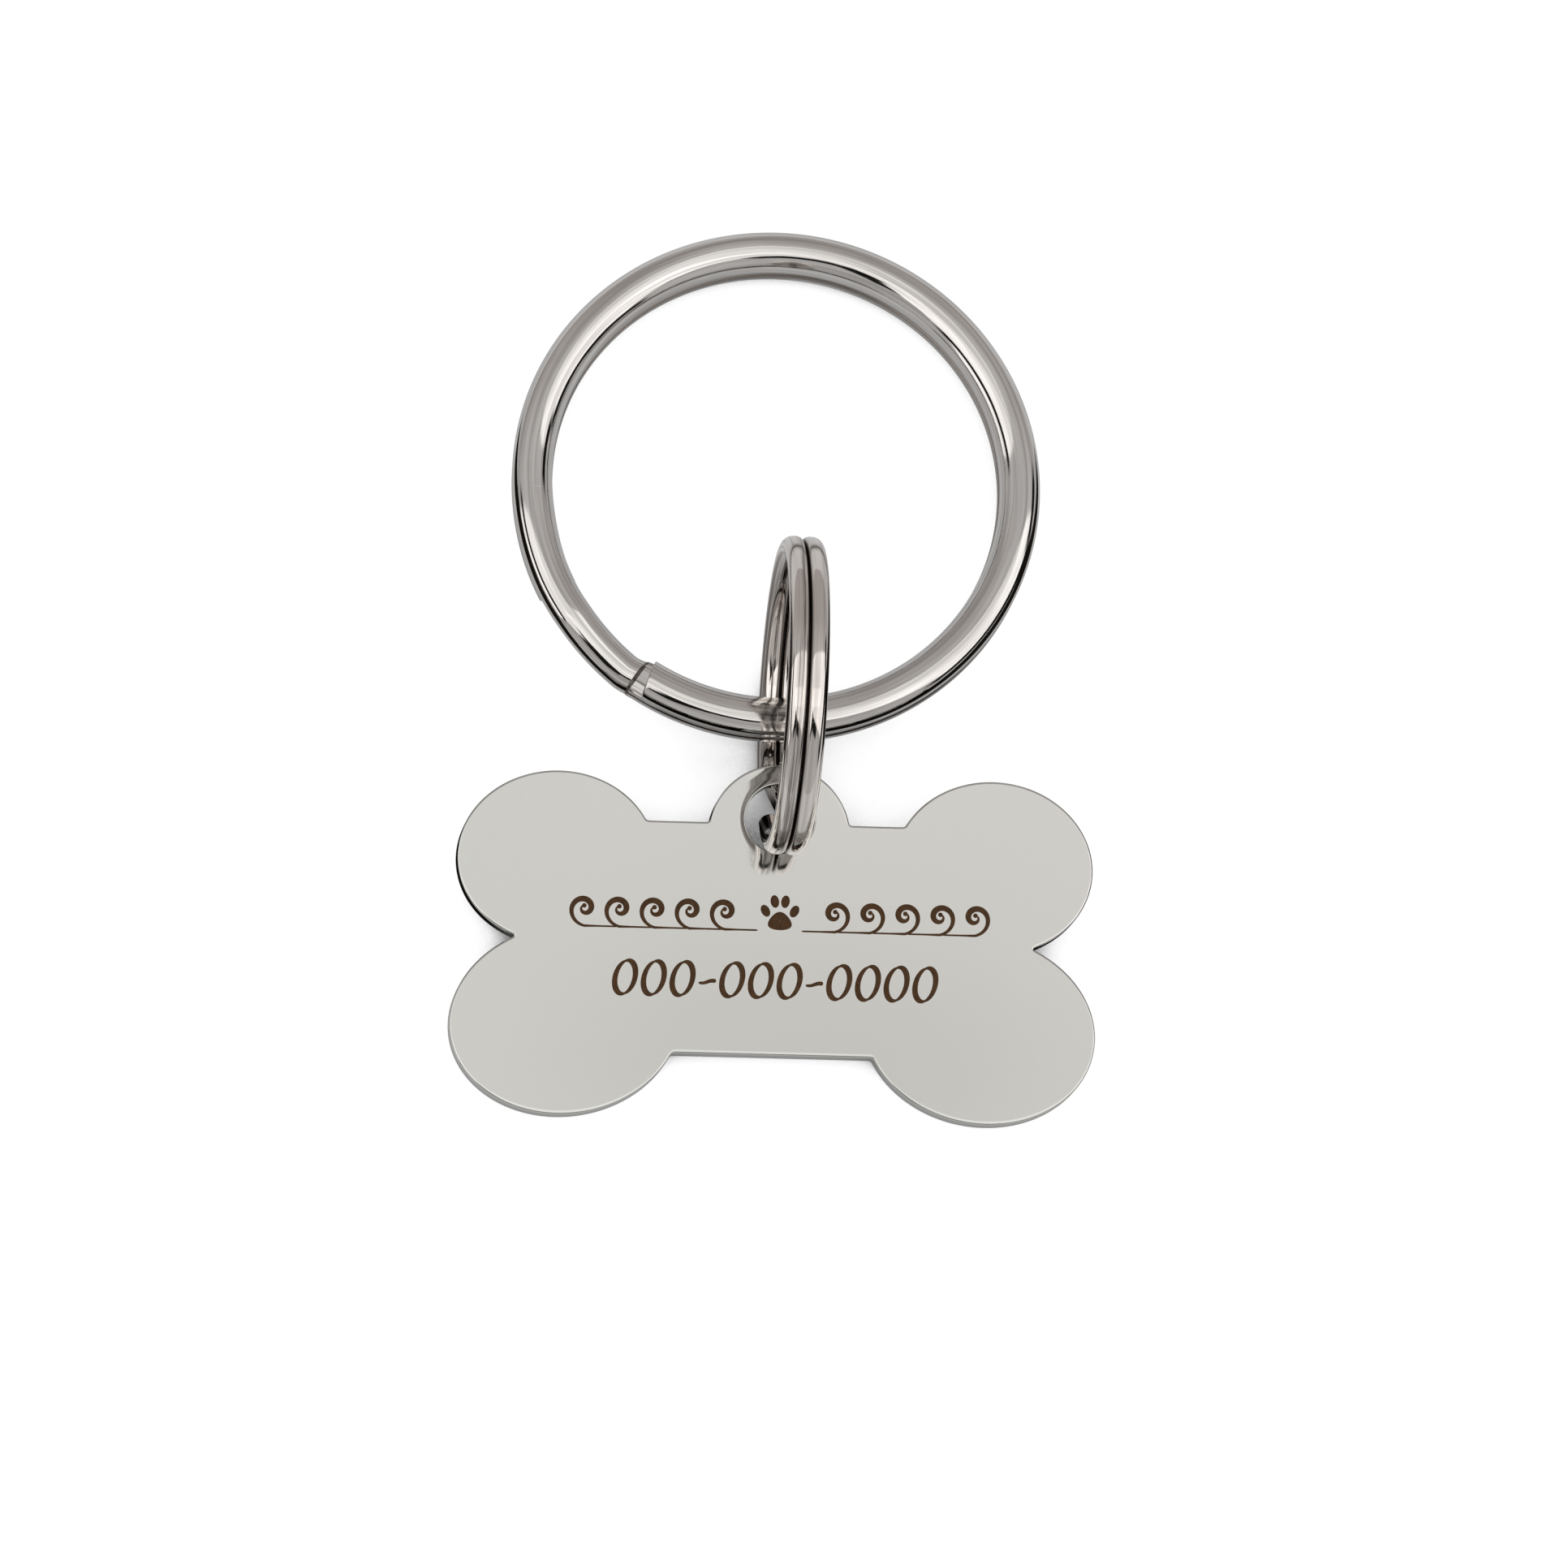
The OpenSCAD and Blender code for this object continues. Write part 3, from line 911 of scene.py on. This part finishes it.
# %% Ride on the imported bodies
for piece, body, node, slot in ((large_ring, "large_ring", "large_split_ring", "ring_metal"),
                                (small_ring, "small_ring", "small_split_ring", "ring_metal"),
                                (plate, "tag", "tag_plate", "plate_steel")):
    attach(piece, body)
    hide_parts(node)
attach(laser_marks, "tag")
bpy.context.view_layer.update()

# %% [markdown]
# ## Studio
#
# The tag lies on white paper in a tent of grey cloth. Polished metal in an all-white tent would be
# white all over, so photographers light such a thing through one wide panel overhead and let the
# rest of the tent stay grey. The panel gives the bright bands, black bars beyond its ends give the
# thin dark lines along the wires, and the camera itself is the dark bar among the bright bands. The
# camera never sees the tent, only the metal does.


# %% Dark patch on the paper, a painted reflection for the metal
# Painted reflection: a dark patch on the paper round the large ring's near side, for the metal.
reflected_dark_inner_radius, reflected_dark_outer_slope, reflected_dark_near_edge = 0.0198, 0.2, -0.0305
circle_soft, side_soft, near_soft = 0.0012, 0.001, 0.002
reflected_dark_middle = large_middle + [0, 2.5, 0]


def reflected_dark_mask(tree):
    """1 outside a circle round the large ring, where near edge < y < slope * |x|, else 0."""
    centred = vector_node(tree, "SUBTRACT", object_place(tree), (*(reflected_dark_middle[:2] * MM), 0))
    parts = tree.nodes.new("ShaderNodeSeparateXYZ")
    tree.links.new(centred, parts.inputs[0])
    size = vector_node(tree, "LENGTH", centred)
    outside_circle = band(tree, size, reflected_dark_inner_radius, reflected_dark_inner_radius + circle_soft)
    side = math_node(tree, "MULTIPLY", math_node(tree, "ABSOLUTE", parts.outputs["X"]), reflected_dark_outer_slope)
    below_side = band(tree, math_node(tree, "SUBTRACT", side, parts.outputs["Y"]), -side_soft, side_soft)
    above_near = band(tree, parts.outputs["Y"], reflected_dark_near_edge, reflected_dark_near_edge + near_soft)
    strip = math_node(tree, "MULTIPLY", below_side, above_near)
    return math_node(tree, "MULTIPLY", outside_circle, strip)


# %% White paper
# The second colour is the paper's lit colour inside the painted dark reflection patch.
lit_white, reflected_dark_colour = (0.22, 0.22, 0.22), (0.01, 0.008, 0.006)
shade_reach, shadow_from, shadow_to = 0.012, 0.2, 0.38
camera_glow, metal_glow = 0.88, 0.42


def paper_material():
    """White paper: a part of its white is lit, which keeps the soft shadow, and the rest is a glow
    for camera, glossy and transmission rays, held back where the object shades the paper, a painted
    shadow. Metal sees less of the glow, as on grey ground, and none of it from a dark patch round
    the large ring's near side, a painted reflection that only glossy and transmission rays see,
    which gives the rings their dark outer lines."""
    material = bpy.data.materials.new("white_paper")
    material.use_nodes = True
    tree = material.node_tree
    tree.nodes.clear()
    out, add = tree.nodes.new("ShaderNodeOutputMaterial"), tree.nodes.new("ShaderNodeAddShader")
    lit, glow = tree.nodes.new("ShaderNodeBsdfDiffuse"), tree.nodes.new("ShaderNodeEmission")
    path, shade = tree.nodes.new("ShaderNodeLightPath"), tree.nodes.new("ShaderNodeAmbientOcclusion")
    shade.inputs["Distance"].default_value = shade_reach
    shade.samples = 10
    open_sky = shade.outputs["AO"]
    unshaded = band(tree, open_sky, shadow_from, shadow_to, 0.0, camera_glow)
    to_camera = math_node(tree, "MULTIPLY", path.outputs["Is Camera Ray"], unshaded)
    mirrored = math_node(tree, "MAXIMUM", path.outputs["Is Glossy Ray"], path.outputs["Is Transmission Ray"])
    # Painted reflection: the dark patch is there only for glossy and transmission rays.
    reflected_dark = math_node(tree, "MULTIPLY", mirrored, reflected_dark_mask(tree))
    tree.links.new(mixed(tree, reflected_dark, lit_white, reflected_dark_colour), lit.inputs["Color"])
    ground = math_node(tree, "MULTIPLY", open_sky, band(tree, reflected_dark, 0.0, 1.0, metal_glow, 0.0))
    to_metal = math_node(tree, "MULTIPLY", mirrored, ground)
    tree.links.new(math_node(tree, "MAXIMUM", to_camera, to_metal), glow.inputs["Strength"])
    tree.links.new(lit.outputs[0], add.inputs[0])
    tree.links.new(glow.outputs[0], add.inputs[1])
    tree.links.new(add.outputs[0], out.inputs["Surface"])
    return material


def stage_piece(name, points, faces, material, seen):
    """A stage mesh with points in metres. seen says whether the camera may see it."""
    mesh = bpy.data.meshes.new(name)
    mesh.from_pydata(points, [], faces)
    mesh.materials.append(material)
    piece = bpy.data.objects.new(name, mesh)
    piece.visible_camera = seen
    bpy.context.scene.collection.objects.link(piece)
    return piece


paper = stage_piece("paper", [(-4, -4, 0), (4, -4, 0), (4, 4, 0), (-4, 4, 0)], [[0, 1, 2, 3]],
                    paper_material(), seen=True)
print("paper", paper.dimensions[:])

# %% Tent with its panel
# A place on the tent is given on a flat map with the point overhead in the middle: east and north
# are degrees away from overhead.
cloth_level, near_cloth_level, lit_cloth_level, black_level = 0.43, 0.50, 0.56, 0.01
panel_level, panel_end_level, level_from, level_over = 0.95, 1.3, 12.0, 28.0
panel_reach_west, panel_reach_east, panel_south = 61.0, 73.0, -37.0
panel_north_west, panel_north_east, north_span = 14.0, 20.0, 120.0
near_over, lit_to, lit_over = 60.0, 18.0, 32.0
second_panel = (71, 87)
# Each black bar goes between two distances from overhead and two bearings round it.
side_bars = (((60, 71.5), (164, 216)), ((87, 91), (164, 216)),
             ((74, 91), (-38, 10)), ((64, 80), (8, 26)))
bar_end_soft = 6
camera_bar = dict(middle=(-3, -35), tilt=-20, half_length=18, half_width=5)
camera_arm = dict(middle=(-18, -36), tilt=28, half_length=12, half_width=6)


def between(x, low, high, soft=1.0):
    """1 between low and high and 0 outside, with edges as wide as soft."""
    return soft_step((x - low) / soft + 0.5) * soft_step((high - x) / soft + 0.5)


def bar(east, north, middle, tilt, half_length, half_width):
    """1 on a straight bar with soft edges that leans by tilt degrees, 0 off it."""
    x, y = east - middle[0], north - middle[1]
    c, s = np.cos(np.radians(tilt)), np.sin(np.radians(tilt))
    lengthwise = between(x * c + y * s, -half_length, half_length, 3)
    return lengthwise * between(y * c - x * s, -half_width, half_width, 2)


def tent_light(east, north):
    """Brightness of the tent: grey cloth, brighter on the near side and beside the panel; the bright
    panel inside a circle and between two straight sides, with a second piece of it low in the west;
    black bars beyond its ends; and the camera and its arm as bars across the near side."""
    away, bearing = np.hypot(east, north), np.degrees(np.arctan2(north, east))
    light = cloth_level + (near_cloth_level - cloth_level) * soft_step(-north / near_over)
    beside_panel = (1 - soft_step((north - lit_to) / lit_over)) * soft_step(north / 5)
    light += (lit_cloth_level - cloth_level) * beside_panel
    north_share = (east + north_span / 2) / north_span
    north_side = panel_north_west + (panel_north_east - panel_north_west) * north_share
    reach = np.where(east > 0, panel_reach_east, panel_reach_west)
    beyond = between(away, *second_panel) * (east < 0)
    panel = np.maximum(between(away, -9, reach), beyond) * between(north, panel_south, north_side, 1.5)
    end_share = soft_step((away - level_from) / level_over)
    light += (panel_level + (panel_end_level - panel_level) * end_share - light) * panel
    dark = [bar(east, north, **camera_bar), bar(east, north, **camera_arm)]
    for distances, bearings in side_bars:
        turned = np.where(bearing < bearings[0] - bar_end_soft, bearing + 360, bearing)
        dark.append(between(away, *distances) * between(turned, *bearings, bar_end_soft))
    return light + (black_level - light) * np.maximum.reduce(dark)


# %% Tent mesh
tent_radius = 3.0
near_cloth_colour, far_cloth_colour, far_cloth = (1, 0.985, 0.97), (1, 0.94, 0.915), (0.6, 2.2)


def tent_material():
    """Cloth that gives off the brightness stored on the tent's mesh, warmer towards its far side."""
    material = bpy.data.materials.new("tent_cloth")
    material.use_nodes = True
    tree = material.node_tree
    tree.nodes.clear()
    out, glow = tree.nodes.new("ShaderNodeOutputMaterial"), tree.nodes.new("ShaderNodeEmission")
    parts = tree.nodes.new("ShaderNodeSeparateXYZ")
    tree.links.new(object_place(tree), parts.inputs[0])
    far_side = band(tree, parts.outputs["Y"], *far_cloth)
    tree.links.new(mixed(tree, far_side, near_cloth_colour, far_cloth_colour), glow.inputs["Color"])
    stored = tree.nodes.new("ShaderNodeAttribute")
    stored.attribute_name = "light"
    tree.links.new(stored.outputs["Fac"], glow.inputs["Strength"])
    tree.links.new(glow.outputs[0], out.inputs["Surface"])
    material.cycles.emission_sampling = "NONE"
    return material


away, bearing = np.meshgrid(np.linspace(0.2, 90, 181), np.arange(0, 360, 1.0), indexing="ij")
directions = [np.sin(np.radians(away)) * np.cos(np.radians(bearing)),
              np.sin(np.radians(away)) * np.sin(np.radians(bearing)), np.cos(np.radians(away))]
tent_points = (np.stack(directions, -1) * tent_radius).reshape(-1, 3)
tent = stage_piece("tent", tent_points.tolist(), grid_faces(*away.shape).tolist(), tent_material(),
                   seen=False)
tent.visible_diffuse = False
tent.visible_shadow = False
light = tent_light(away * np.cos(np.radians(bearing)), away * np.sin(np.radians(bearing)))
stored_light = tent.data.attributes.new("light", "FLOAT", "POINT")
stored_light.data.foreach_set("value", light.astype(np.float32).ravel())
print("tent", tent_points.shape, "light from", light.min().round(3), "to", light.max().round(3))

# %% Sky and lamp
world = bpy.data.worlds.new("white_sky")
world.use_nodes = True
world.node_tree.nodes["Background"].inputs["Color"].default_value = (1, 1, 1, 1)
world.node_tree.nodes["Background"].inputs["Strength"].default_value = 1.0
bpy.context.scene.world = world

lamp_length, lamp_width, lamp_watts = 2.2, 0.45, 0.9
lamp_place, lamp_lean = (0, -0.45, 1.55), -16
lamp_data = bpy.data.lights.new("strip_lamp", "AREA")
lamp_data.shape, lamp_data.size, lamp_data.size_y = "RECTANGLE", lamp_length, lamp_width
lamp_data.energy = lamp_watts
lamp = bpy.data.objects.new("strip_lamp", lamp_data)
lamp.location = lamp_place
lamp.rotation_euler = (np.radians(lamp_lean), 0, 0)
bpy.context.scene.collection.objects.link(lamp)
print("lamp", lamp_length, "by", lamp_width, "metres, facing down, leaning", lamp_lean, "degrees")

scene = bpy.context.scene
scene.view_settings.view_transform = "Standard"
